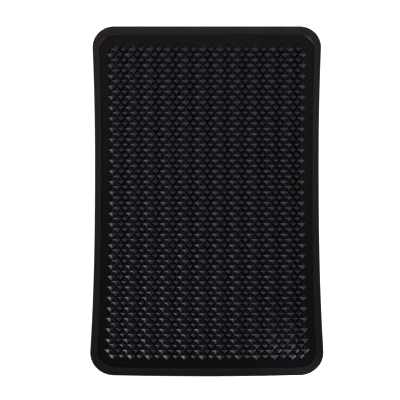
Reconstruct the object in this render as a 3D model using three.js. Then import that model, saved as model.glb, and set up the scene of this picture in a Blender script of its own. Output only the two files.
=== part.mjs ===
/*
 * Snowboard stomp pad: a traction pad moulded in one piece from black rubber, stuck to a sheet of
 * double-sided foam tape, and supplied on a paper release liner that peels off the tape.
 *
 * Millimetres, +Z up. The liner lies on z = 0, the pad's length runs along Y, and the origin is the
 * middle of the footprint. Everything in plan is laid out on a plain rounded rectangle, and fan()
 * then spreads the whole layout towards the two ends, so that the outline, the rim and the rows of
 * studs all flare together.
 */
import * as THREE from 'three';

// Driving dimensions of the plan.
const padLength = 150;
const waistWidth = 96.0;
const waistY = 18;
const topFan = 1.03;
const topFanPower = 2;
const bottomFan = 1.057;
const bottomFanPower = 2.5;
const bottomBow = 0.7;

// Driving dimensions of the stack, from the surface up.
const linerThickness = 0.12;
const tapeThickness = 0.8;
const baseThickness = 2.3;
const rimHeight = 0.6;

// The smooth rim round the edge, and the die-cut margin of the tape and the liner.
const topCornerRadius = 9.5;
const bottomCornerRadius = 10.4;
const rimWidthSides = 3.2;
const rimWidthEnds = 4.0;
const rimCornerCut = 3.2;
const rimRound = 0.4;
const rimInnerSlope = 0.3;
const wallDraft = 0.1;
const tapeMargin = 1.5;

// The stud field: staggered rows, of which every other one is a stud shorter. Each stud is a square
// pyramid with its base corners along X and Y. Large and small ones take turns, tip to tip.
const rowCount = 59;
const studsInShortRow = 22;
const pitch = waistWidth / 26.2;
const rowSpacing = 2.263;
const fieldShiftY = -0.35;
const largeStud = { halfDiagonal: 0.54 * pitch, height: 1.15 };
const smallStud = { halfDiagonal: 0.43 * pitch, height: 0.88 };

// How finely the outline is divided.
const cornerSteps = 8;
const sideSteps = 16;
const endSteps = 8;

// Spreads a point of the plain layout into the real, waisted plan.
function fan(x, y) {
  if (y > waistY) {
    const reach = (y - waistY) / (padLength / 2 - waistY);
    return [x * (1 + (topFan - 1) * reach ** topFanPower), y];
  }
  const reach = (waistY - y) / (waistY + padLength / 2);
  const across = (2 * x) / waistWidth;
  const spread = 1 + (bottomFan - 1) * reach ** bottomFanPower;
  return [x * spread, y + bottomBow * (reach * across) ** 2];
}

// An evenly divided straight run from a to b, without its last point.
function run(a, b, steps) {
  return Array.from({ length: steps }, (_, i) => a.clone().lerp(b, i / steps));
}

// A quarter circle round a centre, anticlockwise from startAngle, without its last point.
function quarter(centre, radius, startAngle) {
  return Array.from({ length: cornerSteps }, (_, i) => {
    const angle = startAngle + (i / cornerSteps) * (Math.PI / 2);
    return new THREE.Vector2(Math.cos(angle), Math.sin(angle)).multiplyScalar(radius).add(centre);
  });
}

// The plan outline pulled in by inX at the sides and inY at the ends, anticlockwise from the lower
// right corner. Every outline has the same number of points, so that any two can be joined.
function outline({ inX, inY, radiusCut }) {
  const halfWidth = waistWidth / 2 - inX;
  const halfLength = padLength / 2 - inY;
  const low = bottomCornerRadius - radiusCut;
  const high = topCornerRadius - radiusCut;
  const lowX = halfWidth - low;
  const lowY = low - halfLength;
  const highX = halfWidth - high;
  const highY = halfLength - high;
  const at = (x, y) => new THREE.Vector2(x, y);
  const plain = [
    ...quarter(at(lowX, lowY), low, -Math.PI / 2),
    ...run(at(halfWidth, lowY), at(halfWidth, highY), sideSteps),
    ...quarter(at(highX, highY), high, 0),
    ...run(at(highX, halfLength), at(-highX, halfLength), endSteps),
    ...quarter(at(-highX, highY), high, Math.PI / 2),
    ...run(at(-halfWidth, highY), at(-halfWidth, lowY), sideSteps),
    ...quarter(at(-lowX, lowY), low, Math.PI),
    ...run(at(-lowX, -halfLength), at(lowX, -halfLength), endSteps),
  ];
  return plain.map((p) => new THREE.Vector2(...fan(p.x, p.y)));
}

// A closed surface in the making: points, and triangles that name them.
class Surface {
  positions = [];
  triangles = [];

  addPoint(x, y, z) {
    this.positions.push(x, y, z);
    return this.positions.length / 3 - 1;
  }

  addLoop(points, z) {
    return points.map((p) => this.addPoint(p.x, p.y, z));
  }

  // Joins two loops of equal length with a band that faces out when the first loop is the lower.
  addBand(lower, upper) {
    lower.forEach((a, i) => {
      const next = (i + 1) % lower.length;
      this.triangles.push(a, lower[next], upper[next], a, upper[next], upper[i]);
    });
  }

  // Fills the flat region inside a loop, less one hole, facing up or down.
  addFlat(loop, hole, facesUp) {
    const at = (i) => new THREE.Vector2(this.positions[3 * i], this.positions[3 * i + 1]);
    const holes = hole ? [hole.map(at)] : [];
    const indices = [...loop, ...(hole ?? [])];
    for (const [i, j, k] of THREE.ShapeUtils.triangulateShape(loop.map(at), holes)) {
      const [a, b, c] = [indices[i], indices[j], indices[k]];
      const turnsLeft = at(b).sub(at(a)).cross(at(c).sub(at(a))) > 0;
      this.triangles.push(...(turnsLeft === facesUp ? [a, b, c] : [a, c, b]));
    }
  }

  toGeometry() {
    const geometry = new THREE.BufferGeometry();
    geometry.setAttribute('position', new THREE.Float32BufferAttribute(this.positions, 3));
    geometry.setIndex(this.triangles);
    const faceted = geometry.toNonIndexed();
    faceted.computeVertexNormals();
    return faceted;
  }
}

// A flat sheet cut to the plan outline less a margin, its underside at z = 0.
function dieCutSheet(thickness, margin) {
  const surface = new Surface();
  const points = outline({ inX: margin, inY: margin, radiusCut: margin });
  const under = surface.addLoop(points, 0);
  const over = surface.addLoop(points, thickness);
  surface.addBand(under, over);
  surface.addFlat(under, null, false);
  surface.addFlat(over, null, true);
  return surface.toGeometry();
}

// The wall and the rim: each step is a height and how far the outline has been pulled in there.
const rimTop = baseThickness + rimHeight;
const roundMiddle = (1 - Math.SQRT1_2) * rimRound;
const rimProfile = [
  { z: 0, in: 0 },
  { z: rimTop - rimRound, in: wallDraft },
  { z: rimTop - roundMiddle, in: wallDraft + roundMiddle },
  { z: rimTop, in: wallDraft + rimRound },
  { z: rimTop, in: rimWidthSides - rimInnerSlope },
];

// Adds one row of studs to a surface, and returns the points along its lower and its upper edge, by
// column. Columns are counted in half pitches from the middle: a stud's tips at either side lie on
// both edges, and its own lower and upper tips on one each.
function addStudRow(surface, row) {
  const isShort = row % 2 === 0;
  const studs = isShort ? studsInShortRow : studsInShortRow + 1;
  const y = (row - (rowCount - 1) / 2) * rowSpacing + fieldShiftY;
  const floorPoint = (pointX, pointY) => surface.addPoint(...fan(pointX, pointY), baseThickness);

  const firstColumn = 1 - studs;
  let left = floorPoint((firstColumn * pitch) / 2 - largeStud.halfDiagonal, y);
  const lower = new Map([[firstColumn - 1, left]]);
  const upper = new Map([[firstColumn - 1, left]]);
  for (let i = 0; i < studs; i += 1) {
    const { halfDiagonal, height } = i % 2 === 0 ? largeStud : smallStud;
    const column = firstColumn + 2 * i;
    const x = (column * pitch) / 2;
    const low = floorPoint(x, y - halfDiagonal);
    const high = floorPoint(x, y + halfDiagonal);
    const right = floorPoint(x + halfDiagonal, y);
    const apex = surface.addPoint(...fan(x, y), baseThickness + height);
    surface.triangles.push(low, right, apex, right, high, apex, high, left, apex, left, low, apex);
    lower.set(column, low).set(column + 1, right);
    upper.set(column, high).set(column + 1, right);
    left = right;
  }
  return { lower, upper, isShort };
}

// Adds the whole stud field, with the floor between its rows, and returns the loop round it.
function addStudField(surface) {
  const rows = Array.from({ length: rowCount }, (_, row) => addStudRow(surface, row));
  const edge = studsInShortRow;
  rows.slice(1).forEach((above, i) => {
    const below = rows[i];
    for (let column = -edge; column < edge; column += 1) {
      const [a, b] = [below.upper.get(column), below.upper.get(column + 1)];
      const [c, d] = [above.lower.get(column + 1), above.lower.get(column)];
      surface.triangles.push(a, b, c, a, c, d);
    }
  });

  // The points of a row at one end of it, from its lower edge to its upper edge.
  const rowEnd = ({ lower, upper, isShort }, side) => {
    const column = side * edge;
    return isShort
      ? [lower.get(column)]
      : [lower.get(column), lower.get(column + side), upper.get(column)];
  };
  const innerColumns = Array.from({ length: 2 * edge - 1 }, (_, i) => i + 1 - edge);
  return [
    ...innerColumns.map((column) => rows[0].lower.get(column)),
    ...rows.flatMap((row) => rowEnd(row, 1)),
    ...innerColumns.reverse().map((column) => rows.at(-1).upper.get(column)),
    ...rows.reverse().flatMap((row) => rowEnd(row, -1).reverse()),
  ];
}

// The moulding: base plate, rounded rim, smooth channel and stud field, its underside at z = 0.
function mouldedPadGeometry() {
  const surface = new Surface();
  const loops = rimProfile.map((step) =>
    surface.addLoop(outline({ inX: step.in, inY: step.in, radiusCut: step.in }), step.z),
  );
  const innerFoot = outline({ inX: rimWidthSides, inY: rimWidthEnds, radiusCut: rimCornerCut });
  loops.push(surface.addLoop(innerFoot, baseThickness));
  loops.slice(1).forEach((loop, i) => surface.addBand(loops[i], loop));
  surface.addFlat(loops[0], null, false);
  surface.addFlat(loops.at(-1), addStudField(surface), true);
  return surface.toGeometry();
}

function piece(name, geometry, z, color, roughness) {
  const material = new THREE.MeshStandardMaterial({ color, roughness, metalness: 0 });
  const mesh = new THREE.Mesh(geometry, material);
  mesh.name = name;
  mesh.position.z = z;
  return mesh;
}

const releaseLiner = piece(
  'release_liner', dieCutSheet(linerThickness, tapeMargin), 0, 0xccc3aa, 0.6,
);
const foamTape = piece(
  'foam_tape', dieCutSheet(tapeThickness, tapeMargin), linerThickness, 0x2a2b2e, 0.9,
);
const mouldedPad = piece(
  'moulded_pad', mouldedPadGeometry(), linerThickness + tapeThickness, 0x17171a, 0.45,
);

const stompPad = new THREE.Group();
stompPad.add(releaseLiner, foamTape, mouldedPad);

export default stompPad;
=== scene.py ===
"""A snowboard stomp pad: a studded black rubber moulding on foam tape, with its paper release liner.

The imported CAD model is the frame. Each of its three solids is replaced by a finer piece of the same
size in the same place, and the plan is laid out as the CAD model's is: on a plain rounded rectangle
that fan() then spreads towards the two ends.
"""
import math
import random

import bpy
import numpy as np
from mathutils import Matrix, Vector
from mathutils.geometry import tessellate_polygon


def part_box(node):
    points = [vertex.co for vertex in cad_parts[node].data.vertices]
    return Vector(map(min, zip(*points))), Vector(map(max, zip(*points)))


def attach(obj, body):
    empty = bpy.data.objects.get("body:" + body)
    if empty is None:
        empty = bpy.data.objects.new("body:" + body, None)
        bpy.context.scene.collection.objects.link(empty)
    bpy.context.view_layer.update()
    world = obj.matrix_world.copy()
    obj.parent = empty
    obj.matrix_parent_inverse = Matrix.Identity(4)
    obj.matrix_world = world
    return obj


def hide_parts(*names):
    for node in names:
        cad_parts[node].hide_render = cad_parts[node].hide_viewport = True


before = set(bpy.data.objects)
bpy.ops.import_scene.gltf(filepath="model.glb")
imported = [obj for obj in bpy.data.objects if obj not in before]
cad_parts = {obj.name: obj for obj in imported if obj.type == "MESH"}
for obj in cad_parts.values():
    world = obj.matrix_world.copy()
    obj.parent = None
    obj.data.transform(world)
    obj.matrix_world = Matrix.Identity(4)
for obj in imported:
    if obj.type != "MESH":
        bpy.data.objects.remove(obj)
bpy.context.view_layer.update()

MM = 0.001
pad_low, pad_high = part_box("moulded_pad")
tape_low, tape_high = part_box("foam_tape")
liner_low, liner_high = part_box("release_liner")

# The plan, in metres.
LENGTH = pad_high.y - pad_low.y
WAIST_WIDTH = 96.0 * MM
WAIST_Y = 18 * MM
TOP_FAN, TOP_FAN_POWER = 1.030, 2
BOTTOM_FAN, BOTTOM_FAN_POWER = 1.057, 2.5
BOTTOM_BOW = 0.7 * MM
TOP_CORNER = 9.5 * MM
BOTTOM_CORNER = 10.4 * MM
RIM_SIDES = 3.2 * MM
RIM_ENDS = 4.0 * MM
RIM_CORNER_CUT = 3.2 * MM
RIM_HEIGHT = 0.6 * MM
TAPE_MARGIN = 1.5 * MM

# The stud field. A stud's tip is blunt and a little off centre, and its edges are slightly flattened.
ROWS = 59
SHORT_ROW = 22
PITCH = WAIST_WIDTH / 26.2
ROW_SPACING = 2.263 * MM
FIELD_SHIFT_Y = -0.35 * MM
LARGE_HEIGHT = 1.15 * MM
SMALL_HEIGHT = 0.88 * MM
LARGE_HALF = 0.54 * PITCH
SMALL_HALF = 0.43 * PITCH
EDGE_WIDTH = 0.08 * MM
TIP_WIDTH = 0.12 * MM
TIP_WANDER = 0.02 * MM

# The studio. Angles are in degrees, with azimuth 0 along +X and 90 along +Y.
LIGHT_COLOUR = (0.96, 0.92, 1.08)
BACK_COLOUR = (1.0, 0.86, 0.97)
SKY_STRENGTH = 0.03
HORIZON_STRENGTH = 0.9
HORIZON_TOP = 7
SOFT_BOX_RADIUS = 18
# Each soft box's azimuth, elevation, strength and colour.
SOFT_BOXES = [
    (210, 17, 4.8, LIGHT_COLOUR),
    (300, 28, 4.9, LIGHT_COLOUR),
    (330, 3, 10.0, LIGHT_COLOUR),
    (60, 17, 2.1, LIGHT_COLOUR),
    (120, 17, 1.0, LIGHT_COLOUR),
    (90, 65, 4.4, BACK_COLOUR),
    (90, 80, 3.4, BACK_COLOUR),
    (0, 50, 1.5, LIGHT_COLOUR),
    (180, 50, 1.5, LIGHT_COLOUR),
    (270, 50, 1.3, LIGHT_COLOUR),
]

# Heights, worked out from the frame.
UNDERSIDE = pad_low.z
FLOOR = pad_high.z - LARGE_HEIGHT
RIM_TOP = FLOOR + RIM_HEIGHT

# How finely an outline is divided.
CORNER_STEPS = 16
SIDE_STEPS = 48
END_STEPS = 28


# ---------------------------------------------------------------- plan


def fan(points):
    """Spreads an (n, 2) array of points of the plain layout into the real, waisted plan."""
    points = np.asarray(points, float)
    x, y = points[:, 0], points[:, 1]
    up = np.clip((y - WAIST_Y) / (LENGTH / 2 - WAIST_Y), 0, None)
    down = np.clip((WAIST_Y - y) / (LENGTH / 2 + WAIST_Y), 0, None)
    spread = 1 + (TOP_FAN - 1) * up**TOP_FAN_POWER + (BOTTOM_FAN - 1) * down**BOTTOM_FAN_POWER
    bow = BOTTOM_BOW * (down * 2 * x / WAIST_WIDTH) ** 2
    return np.stack([x * spread, y + bow], axis=1)


def run(a, b, steps):
    """Points from a towards b, without b."""
    t = np.arange(steps)[:, None] / steps
    return np.array(a) * (1 - t) + np.array(b) * t


def quarter(centre, radius, start):
    """A quarter circle round centre, anticlockwise from the angle start, without its last point."""
    angle = start + np.arange(CORNER_STEPS) / CORNER_STEPS * math.pi / 2
    return np.array(centre) + radius * np.stack([np.cos(angle), np.sin(angle)], axis=1)


def outline(side_inset, end_inset, corner_cut):
    """The plan outline pulled in at the sides, the ends and the corners, anticlockwise."""
    half_width, half_length = WAIST_WIDTH / 2 - side_inset, LENGTH / 2 - end_inset
    low, high = BOTTOM_CORNER - corner_cut, TOP_CORNER - corner_cut
    low_x, high_x = half_width - low, half_width - high
    low_y, high_y = low - half_length, half_length - high
    return fan(
        np.concatenate(
            [
                quarter((low_x, low_y), low, -math.pi / 2),
                run((half_width, low_y), (half_width, high_y), SIDE_STEPS),
                quarter((high_x, high_y), high, 0),
                run((high_x, half_length), (-high_x, half_length), END_STEPS),
                quarter((-high_x, high_y), high, math.pi / 2),
                run((-half_width, high_y), (-half_width, low_y), SIDE_STEPS),
                quarter((-low_x, low_y), low, math.pi),
                run((-low_x, -half_length), (low_x, -half_length), END_STEPS),
            ]
        )
    )


# ---------------------------------------------------------------- mesh building


class Skin:
    """A closed surface in the making: points, and faces that name them."""

    def __init__(self):
        self.points = []
        self.faces = []
        self.materials = []

    def add_points(self, plan, z):
        """Adds points of the real plan at the height or heights z, and returns their numbers."""
        first = len(self.points)
        heights = np.broadcast_to(z, len(plan))
        self.points.extend((x, y, h) for (x, y), h in zip(plan, heights))
        return list(range(first, len(self.points)))

    def add_face(self, *corners, material=0):
        self.faces.append(corners)
        self.materials.append(material)

    def add_band(self, lower, upper, material=0):
        """Joins two rings, facing out when lower lies below upper and both run anticlockwise."""
        for i, a in enumerate(lower):
            j = (i + 1) % len(lower)
            self.add_face(a, lower[j], upper[j], upper[i], material=material)

    def add_flat(self, ring, hole=None, up=True, material=0):
        """Fills the flat region inside a ring, less one hole."""
        numbers = ring + (hole or [])
        loops = [[Vector(self.points[n]) for n in loop] for loop in (ring, hole) if loop]
        for corners in tessellate_polygon(loops):
            a, b, c = (numbers[i] for i in corners)
            pa, pb, pc = (np.array(self.points[n][:2]) for n in (a, b, c))
            (ux, uy), (vx, vy) = pb - pa, pc - pa
            left_turn = ux * vy - uy * vx > 0
            self.add_face(*((a, b, c) if left_turn == up else (a, c, b)), material=material)

    def to_object(self, name, materials):
        mesh = bpy.data.meshes.new(name)
        mesh.from_pydata(self.points, [], self.faces)
        for material in materials:
            mesh.materials.append(material)
        mesh.polygons.foreach_set("material_index", self.materials)
        mesh.validate()
        mesh.shade_smooth()
        mesh.set_sharp_from_angle(angle=math.radians(38))
        obj = bpy.data.objects.new(name, mesh)
        bpy.context.scene.collection.objects.link(obj)
        weighted = obj.modifiers.new("edge_normals", "WEIGHTED_NORMAL")
        weighted.keep_sharp = True
        return obj


# ---------------------------------------------------------------- moulded pad

# The material numbers of the moulding, one for each lit or shaded copy of the one rubber, which is
# painted light and shade. The studs have number 0.
CHANNEL, RIM, VALLEY_SHADE, WALL = 1, 2, 3, 4

# How many bands of the rim's section belong to the outer wall, and to the edge on its inside.
OUTER_WALL_BANDS = 3
INNER_EDGE_BANDS = 2

# The round on the rim's outside. Widths are shares of the rim's width.
ROUND_HEIGHT = 0.4 * MM
ROUND_START, ROUND_WIDTH = 0.03, 0.12
ROUND_STEPS = 6


def rim_section():
    """The rim's section, from the underside over the top to the floor inside it, as pairs: share of
    the rim's width from the outside, height above the floor."""
    under, top = UNDERSIDE - FLOOR, RIM_TOP - FLOOR
    section = [(0.05, under), (0.015, under + 0.04 * MM), (0.0, under + 0.15 * MM)]
    for i in range(ROUND_STEPS + 1):
        angle = i / ROUND_STEPS * math.pi / 2
        share = ROUND_START + ROUND_WIDTH * (1 - math.cos(angle))
        section.append((share, top - ROUND_HEIGHT * (1 - math.sin(angle))))
    section += [(0.35, top + 0.03 * MM), (0.7, top + 0.02 * MM), (0.89, top)]
    section += [(0.898, top - 0.03 * MM), (1.0, 0.0)]
    return section


def stud_ring(half, cut):
    """Eight points round a square that stands on its corner, each corner cut off square."""
    cut = cut / 2
    tips = [(1, 0), (0, 1), (-1, 0), (0, -1)]
    ring = []
    for tx, ty in tips:
        tip = np.array([tx, ty]) * (half - cut)
        across = np.array([-ty, tx]) * cut
        ring += [tip - across, tip + across]
    return np.array(ring)


def add_stud_field(skin):
    """Adds the studs and the floor between them, and returns the ring round the field."""
    rng = random.Random(7)
    corners = {}
    shift = (LARGE_HALF - SMALL_HALF) / 2

    def row_y(row):
        return (row - (ROWS - 1) / 2) * ROW_SPACING + FIELD_SHIFT_Y

    def studs_in(row):
        return SHORT_ROW + row % 2

    def is_large(column, row):
        """Whether the stud at this column is large, or None where there is no stud."""
        studs = studs_in(row)
        i = (column + studs - 1) // 2
        return i % 2 == 0 if 0 <= row < ROWS and 0 <= i < studs else None

    def corner(column, row):
        """The floor point between two studs of a row, nearer to the smaller one."""
        if (column, row) not in corners:
            left, right = is_large(column - 1, row), is_large(column + 1, row)
            nudge = 0.0
            if left is not None:
                nudge = shift if left else -shift
            elif right is not None:
                nudge = -shift if right else shift
            point = fan([(column * PITCH / 2 + nudge, row_y(row))])
            corners[column, row] = skin.add_points(point, FLOOR)[0]
        return corners[column, row]

    for row in range(ROWS):
        for i in range(studs_in(row)):
            column = 2 * i - (studs_in(row) - 1)
            half, height = (LARGE_HALF, LARGE_HEIGHT) if i % 2 == 0 else (SMALL_HALF, SMALL_HEIGHT)
            centre = np.array([column * PITCH / 2, row_y(row)])
            wander = np.array([rng.uniform(-1, 1), rng.uniform(-1, 1)]) * TIP_WANDER
            height *= 1 - 0.01 * rng.random()
            # Share of the height, half diagonal and corner cut of each ring, from the foot up.
            levels = [
                (0.0, half, EDGE_WIDTH * 1.4),
                (0.10, half - 0.30 * MM, EDGE_WIDTH * 1.2),
                (1 - 1.5 * TIP_WIDTH / half, 1.5 * TIP_WIDTH, EDGE_WIDTH),
                (1 - 0.62 * TIP_WIDTH / half, 0.8 * TIP_WIDTH, EDGE_WIDTH * 0.6),
            ]
            rings = [
                skin.add_points(
                    fan(centre + wander * share + stud_ring(ring_half, cut)), FLOOR + share * height
                )
                for share, ring_half, cut in levels
            ]
            tip_height = height * (1 - 0.25 * TIP_WIDTH / half)
            apex = skin.add_points(fan([centre + wander]), FLOOR + tip_height)[0]
            for lower, upper in zip(rings, rings[1:]):
                skin.add_band(lower, upper)
            for k, a in enumerate(rings[-1]):
                skin.add_face(a, rings[-1][(k + 1) % 8], apex)
            tile = [corner(column + dx, row + dy) for dx, dy in ((1, 0), (0, 1), (-1, 0), (0, -1))]
            base = rings[0]
            for k in range(4):
                a, b = base[2 * k], base[2 * k + 1]
                following = base[(2 * k + 2) % 8]
                # Painted shade: the floor round each stud takes a darker copy of the rubber with
                # almost no specular, so that it stays dark between the studs.
                skin.add_face(tile[k], b, a, material=VALLEY_SHADE)
                skin.add_face(tile[k], tile[(k + 1) % 4], following, b, material=VALLEY_SHADE)

    edge, top = SHORT_ROW, ROWS - 1
    ring = [corner(c, 0 if (c + edge) % 2 == 0 else -1) for c in range(-edge, edge)]
    ring += [corner(edge + row % 2, row) for row in range(top)]
    ring += [corner(c, top if (c + edge) % 2 == 0 else ROWS) for c in range(edge, -edge, -1)]
    ring += [corner(-edge - row % 2, row) for row in range(top, 0, -1)]
    return ring


def moulded_pad(studs, channel, rim, valley_shade, wall):
    """The moulding: the studs, the channel floor, the rim, the floor between the studs and the walls
    each have a copy of the rubber of their own. The copies differ in colour and specular level, set
    so that each part comes out lighter or darker under these lights: painted light and shade."""
    skin = Skin()
    rings = []
    for share, z in rim_section():
        ring = outline(share * RIM_SIDES, share * RIM_ENDS, share * RIM_CORNER_CUT)
        rings.append(skin.add_points(ring, FLOOR + z))
    for i, (lower, upper) in enumerate(zip(rings, rings[1:])):
        on_top = OUTER_WALL_BANDS <= i < len(rings) - 1 - INNER_EDGE_BANDS
        skin.add_band(lower, upper, material=RIM if on_top else WALL)
    skin.add_flat(rings[0], up=False, material=WALL)
    skin.add_flat(rings[-1], add_stud_field(skin), material=CHANNEL)
    return skin.to_object("stomp_pad_moulding", [studs, channel, rim, valley_shade, wall])


# ---------------------------------------------------------------- tape and liner


def foam_tape(foam, adhesive):
    """Foam core between two thin films of adhesive, with a rough die-cut edge."""
    rng = random.Random(11)
    skin = Skin()
    thickness = tape_high.z - tape_low.z
    film = 0.05 * MM
    shoulder = film + 0.06 * MM
    shoulder_inset, middle_inset = 0.05 * MM, 0.08 * MM
    ragged = 0.03 * MM
    edge = [
        (0.0, 0.0),
        (0.0, film),
        (shoulder_inset, shoulder),
        (middle_inset, thickness / 2),
        (shoulder_inset, thickness - shoulder),
        (0.0, thickness - film),
        (0.0, thickness),
    ]
    rings = []
    for inset, z in edge:
        margin = TAPE_MARGIN + inset
        points = outline(margin, margin, margin)
        if inset:
            points += np.array([[rng.uniform(-1, 1), rng.uniform(-1, 1)] for _ in points]) * ragged
        rings.append(skin.add_points(points, tape_low.z + z))
    for i, (lower, upper) in enumerate(zip(rings, rings[1:])):
        skin.add_band(lower, upper, material=1 if i in (0, len(rings) - 2) else 0)
    skin.add_flat(rings[0], up=False, material=1)
    skin.add_flat(rings[-1], material=1)
    return skin.to_object("foam_tape_sheet", [foam, adhesive])


def release_liner(coated, plain):
    """A thin sheet whose upper face is coated so that the tape lets go of it."""
    skin = Skin()
    points = outline(TAPE_MARGIN, TAPE_MARGIN, TAPE_MARGIN)
    under = skin.add_points(points, liner_low.z)
    over = skin.add_points(points, liner_high.z)
    skin.add_band(under, over, material=1)
    skin.add_flat(under, up=False, material=1)
    skin.add_flat(over, material=0)
    return skin.to_object("release_liner_sheet", [coated, plain])


# ---------------------------------------------------------------- materials


class Nodes:
    """A material's node tree, with short calls for what the materials here need."""

    def __init__(self, name):
        self.material = bpy.data.materials.new(name)
        self.material.use_nodes = True
        self.tree = self.material.node_tree
        self.shader = self.tree.nodes["Principled BSDF"]
        self.place = self.add("ShaderNodeTexCoord").outputs["Object"]

    def add(self, kind, **settings):
        node = self.tree.nodes.new(kind)
        for key, value in settings.items():
            setattr(node, key, value)
        return node

    def link(self, source, target):
        self.tree.links.new(source, target)

    def noise(self, size, detail=2.0, roughness=0.5):
        """Noise whose features are about size metres across."""
        node = self.add("ShaderNodeTexNoise")
        node.inputs["Scale"].default_value = 1 / size
        node.inputs["Detail"].default_value = detail
        node.inputs["Roughness"].default_value = roughness
        self.link(self.place, node.inputs["Vector"])
        return node.outputs["Fac"]

    def cells(self, size):
        """The distance to the nearest of scattered points that are about size metres apart."""
        node = self.add("ShaderNodeTexVoronoi")
        node.inputs["Scale"].default_value = 1 / size
        self.link(self.place, node.inputs["Vector"])
        return node.outputs["Distance"]

    def spread(self, value, low, high, from_low=0.3, from_high=0.7):
        """Maps a value from one range to another, held at the ends."""
        node = self.add("ShaderNodeMapRange")
        self.link(value, node.inputs["Value"])
        ends = {"From Min": from_low, "From Max": from_high, "To Min": low, "To Max": high}
        for socket, number in ends.items():
            node.inputs[socket].default_value = number
        return node.outputs["Result"]

    def mix(self, share, a, b):
        """Mixes two colours, each an (r, g, b) or a socket."""
        node = self.add("ShaderNodeMix", data_type="RGBA")
        self.link(share, node.inputs["Factor"])
        for socket, colour in ((node.inputs[6], a), (node.inputs[7], b)):
            if isinstance(colour, tuple):
                socket.default_value = (*colour, 1)
            else:
                self.link(colour, socket)
        return node.outputs[2]

    def times(self, a, b):
        """The product of a socket and a socket or a number."""
        node = self.add("ShaderNodeMath", operation="MULTIPLY")
        self.link(a, node.inputs[0])
        if isinstance(b, float):
            node.inputs[1].default_value = b
        else:
            self.link(b, node.inputs[1])
        return node.outputs[0]

    def height(self):
        """The height above the surface that the object lies on, in metres."""
        node = self.add("ShaderNodeSeparateXYZ")
        self.link(self.place, node.inputs["Vector"])
        return node.outputs["Z"]

    def bump(self, value, depth, below=None):
        """A bump that is depth metres deep, on top of the one below it."""
        node = self.add("ShaderNodeBump")
        node.inputs["Distance"].default_value = depth
        node.inputs["Strength"].default_value = 1.0
        self.link(value, node.inputs["Height"])
        if below is not None:
            self.link(below, node.inputs["Normal"])
        return node.outputs["Normal"]

    def set(self, **inputs):
        """Sets the shader's inputs, each to a socket, a number or an (r, g, b)."""
        for key, value in inputs.items():
            socket = self.shader.inputs[key.replace("_", " ")]
            if isinstance(value, bpy.types.NodeSocket):
                self.link(value, socket)
            else:
                socket.default_value = (*value, 1) if isinstance(value, tuple) else value
        return self.material


def rubber(name, dark, light, roughness, specular):
    """Moulded black rubber: satin, faintly mottled, and dulled on the tips of the studs. The colours
    and specular levels are set for this studio, and are below those of real rubber. Each part of the
    moulding gets its own lighter or darker copy: painted light and shade."""
    n = Nodes(name)
    blotches = n.noise(9 * MM, detail=3)
    grain = n.noise(0.22 * MM, detail=3, roughness=0.6)
    skin_waves = n.noise(1.6 * MM, detail=1)
    colour = n.mix(n.spread(blotches, 0, 1), dark, light)
    tips = n.spread(n.height(), 0, 1, FLOOR + 0.78 * LARGE_HEIGHT, FLOOR + LARGE_HEIGHT)
    worn = n.times(tips, n.spread(grain, 0.2, 1))
    colour = n.mix(worn, colour, (0.006, 0.006, 0.007))
    normal = n.bump(skin_waves, 0.012 * MM)
    normal = n.bump(grain, 0.002 * MM, below=normal)
    rough = n.spread(blotches, roughness - 0.03, roughness + 0.04)
    return n.set(
        Base_Color=colour,
        Roughness=rough,
        Normal=normal,
        Specular_IOR_Level=specular,
        Sheen_Weight=0.5,
        Sheen_Roughness=0.25,
    )


def foam():
    """Dark closed-cell foam."""
    n = Nodes("closed_cell_foam")
    cells = n.cells(0.25 * MM)
    colour = n.mix(n.spread(cells, 0, 1, 0.1, 0.6), (0.045, 0.046, 0.05), (0.02, 0.02, 0.022))
    return n.set(Base_Color=colour, Roughness=0.85, Normal=n.bump(cells, 0.06 * MM))


def adhesive():
    """Clear adhesive over the foam: smooth, with patches that are duller."""
    n = Nodes("tape_adhesive")
    cells = n.cells(0.45 * MM)
    film = n.noise(6 * MM, detail=4)
    colour = n.mix(n.spread(film, 0, 1), (0.035, 0.036, 0.038), (0.05, 0.051, 0.054))
    normal = n.bump(cells, 0.03 * MM, below=n.bump(film, 0.15 * MM))
    return n.set(Base_Color=colour, Roughness=n.spread(film, 0.22, 0.4), Normal=normal)


def liner_paper(name, roughness):
    """Pale kraft paper with faint fibres, clouds and waves."""
    n = Nodes(name)
    fibres = n.noise(0.5 * MM, detail=4, roughness=0.65)
    clouds = n.noise(14 * MM, detail=3)
    waves = n.noise(30 * MM, detail=1)
    colour = n.mix(n.spread(clouds, 0, 1), (0.58, 0.52, 0.38), (0.64, 0.58, 0.43))
    colour = n.mix(n.times(n.spread(fibres, 0, 1), 0.35), colour, (0.50, 0.44, 0.30))
    normal = n.bump(fibres, 0.012 * MM, below=n.bump(waves, 1.2 * MM))
    return n.set(Base_Color=colour, Roughness=roughness, Normal=normal)


# ---------------------------------------------------------------- pieces


# The real moulding is one rubber. Painted light and shade: the rim and the outer wall are lighter
# copies, the channel a darker one, and the floor between the studs the darkest.
pad = moulded_pad(
    studs=rubber("rubber_studs", (0.0003, 0.0003, 0.0005), (0.0007, 0.0007, 0.0009), 0.29, 0.2),
    channel=rubber("rubber_channel", (0.0008, 0.0008, 0.0008), (0.0014, 0.0013, 0.0013), 0.33, 0.055),
    rim=rubber("rubber_rim", (0.0022, 0.0019, 0.0019), (0.0034, 0.0028, 0.0029), 0.33, 0.11),
    # Painted shade: the floor between the studs is a darker copy of the rubber with almost no
    # specular.
    valley_shade=rubber("rubber_valley_painted_shade", (0.0004, 0.0004, 0.0005), (0.0008, 0.0008, 0.0009), 0.5, 0.009),
    wall=rubber("rubber_wall", (0.0022, 0.0019, 0.0019), (0.0034, 0.0028, 0.0029), 0.36, 0.4),
)
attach(pad, "pad")
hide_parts("moulded_pad")

tape = foam_tape(foam(), adhesive())
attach(tape, "pad")
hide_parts("foam_tape")

liner = release_liner(liner_paper("liner_coated_face", 0.28), liner_paper("liner_plain_face", 0.7))
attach(liner, "liner")
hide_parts("release_liner")


# ---------------------------------------------------------------- studio


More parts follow.
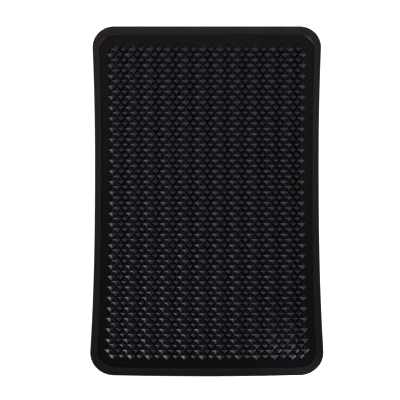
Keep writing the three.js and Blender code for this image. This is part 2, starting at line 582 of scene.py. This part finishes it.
def studio_floor():
    """A plain pale floor, just below the liner."""
    mesh = bpy.data.meshes.new("studio_floor")
    half = 4.0
    corners = [(-half, -half, 0), (half, -half, 0), (half, half, 0), (-half, half, 0)]
    mesh.from_pydata(corners, [], [(0, 1, 2, 3)])
    floor = bpy.data.objects.new("studio_floor", mesh)
    bpy.context.scene.collection.objects.link(floor)
    floor.location.z = -0.05 * MM
    n = Nodes("pale_floor")
    n.shader.inputs["Emission Color"].default_value = (1, 1, 1, 1)
    mesh.materials.append(n.set(Base_Color=(0.85, 0.85, 0.85), Roughness=0.8, Emission_Strength=0.95))


def direction(azimuth, elevation):
    """The unit vector towards an azimuth and elevation in degrees."""
    a, e = math.radians(azimuth), math.radians(elevation)
    return Vector((math.cos(a) * math.cos(e), math.sin(a) * math.cos(e), math.sin(e)))


def area_light(name, azimuth, elevation, distance, size, power, target=(0, 0), spread=180):
    """A rectangular light, its place in degrees and metres from the middle of the pad, that faces a
    target on the floor."""
    data = bpy.data.lights.new(name, "AREA")
    data.shape = "RECTANGLE"
    data.size, data.size_y = size
    data.energy = power
    data.spread = math.radians(spread)
    data.color = LIGHT_COLOUR
    light = bpy.data.objects.new(name, data)
    light.location = direction(azimuth, elevation) * distance
    backwards = light.location - Vector((*target, 0))
    light.rotation_euler = backwards.to_track_quat("Z", "Y").to_euler()
    bpy.context.scene.collection.objects.link(light)


def soft_sky():
    """A dark studio with a pale band along the horizon and soft boxes round it, all smooth glows
    in the world."""
    world = bpy.data.worlds.new("studio_world")
    world.use_nodes = True
    tree = world.node_tree
    towards = tree.nodes.new("ShaderNodeTexCoord").outputs["Generated"]

    def add_glow(total, way, start, end, colour):
        """Adds a glow to the total, rising as the view direction turns from start to end along a
        way: both are cosines of the angle to it."""
        facing = tree.nodes.new("ShaderNodeVectorMath")
        facing.operation = "DOT_PRODUCT"
        facing.inputs[1].default_value = way
        tree.links.new(towards, facing.inputs[0])
        glow = tree.nodes.new("ShaderNodeMapRange")
        glow.interpolation_type = "SMOOTHSTEP"
        glow.inputs["From Min"].default_value = start
        glow.inputs["From Max"].default_value = end
        tree.links.new(facing.outputs["Value"], glow.inputs["Value"])
        both = tree.nodes.new("ShaderNodeVectorMath")
        both.operation = "MULTIPLY_ADD"
        both.inputs[1].default_value = colour
        tree.links.new(glow.outputs["Result"], both.inputs[0])
        if isinstance(total, tuple):
            both.inputs[2].default_value = total
        else:
            tree.links.new(total, both.inputs[2])
        return both.outputs["Vector"]

    total = tuple(SKY_STRENGTH * part for part in LIGHT_COLOUR)
    horizon = tuple(HORIZON_STRENGTH * part for part in LIGHT_COLOUR)
    total = add_glow(total, (0, 0, -1), -math.sin(math.radians(HORIZON_TOP)), 0, horizon)
    for azimuth, elevation, strength, colour in SOFT_BOXES:
        edge = math.cos(math.radians(SOFT_BOX_RADIUS))
        tint = tuple(strength * part for part in colour)
        total = add_glow(total, direction(azimuth, elevation), edge, 1, tint)
    tree.links.new(total, tree.nodes["Background"].inputs["Color"])
    bpy.context.scene.world = world


def studio():
    """The sky, two soft keys near the floor, a small lamp for the glints in the corner, the floor."""
    bpy.context.scene.view_settings.view_transform = "Standard"
    soft_sky()
    area_light("key_far", 222, 4.5, 0.8, (0.22, 0.11), 2.4)
    area_light("key_near", 238, 5, 0.3, (0.10, 0.05), 0.3)
    corner = (0.040, -0.081)
    area_light("corner_low_right", 308, 21, 0.185, (0.02, 0.01), 0.0065, corner, spread=18)
    studio_floor()


def camera():
    """Straight above the pad, with the pad a little right of the middle of the view."""
    data = bpy.data.cameras.new("camera")
    distance = 0.8
    view_width = 170.9 * MM
    aim_x, aim_y = -2.92 * MM, 0.6 * MM
    data.sensor_width = 36
    data.lens = data.sensor_width * distance / view_width
    data.clip_start, data.clip_end = 0.05, 20
    eye = bpy.data.objects.new("camera", data)
    eye.location = (aim_x, aim_y, RIM_TOP + distance)
    bpy.context.scene.collection.objects.link(eye)
    bpy.context.scene.camera = eye


studio()
camera()
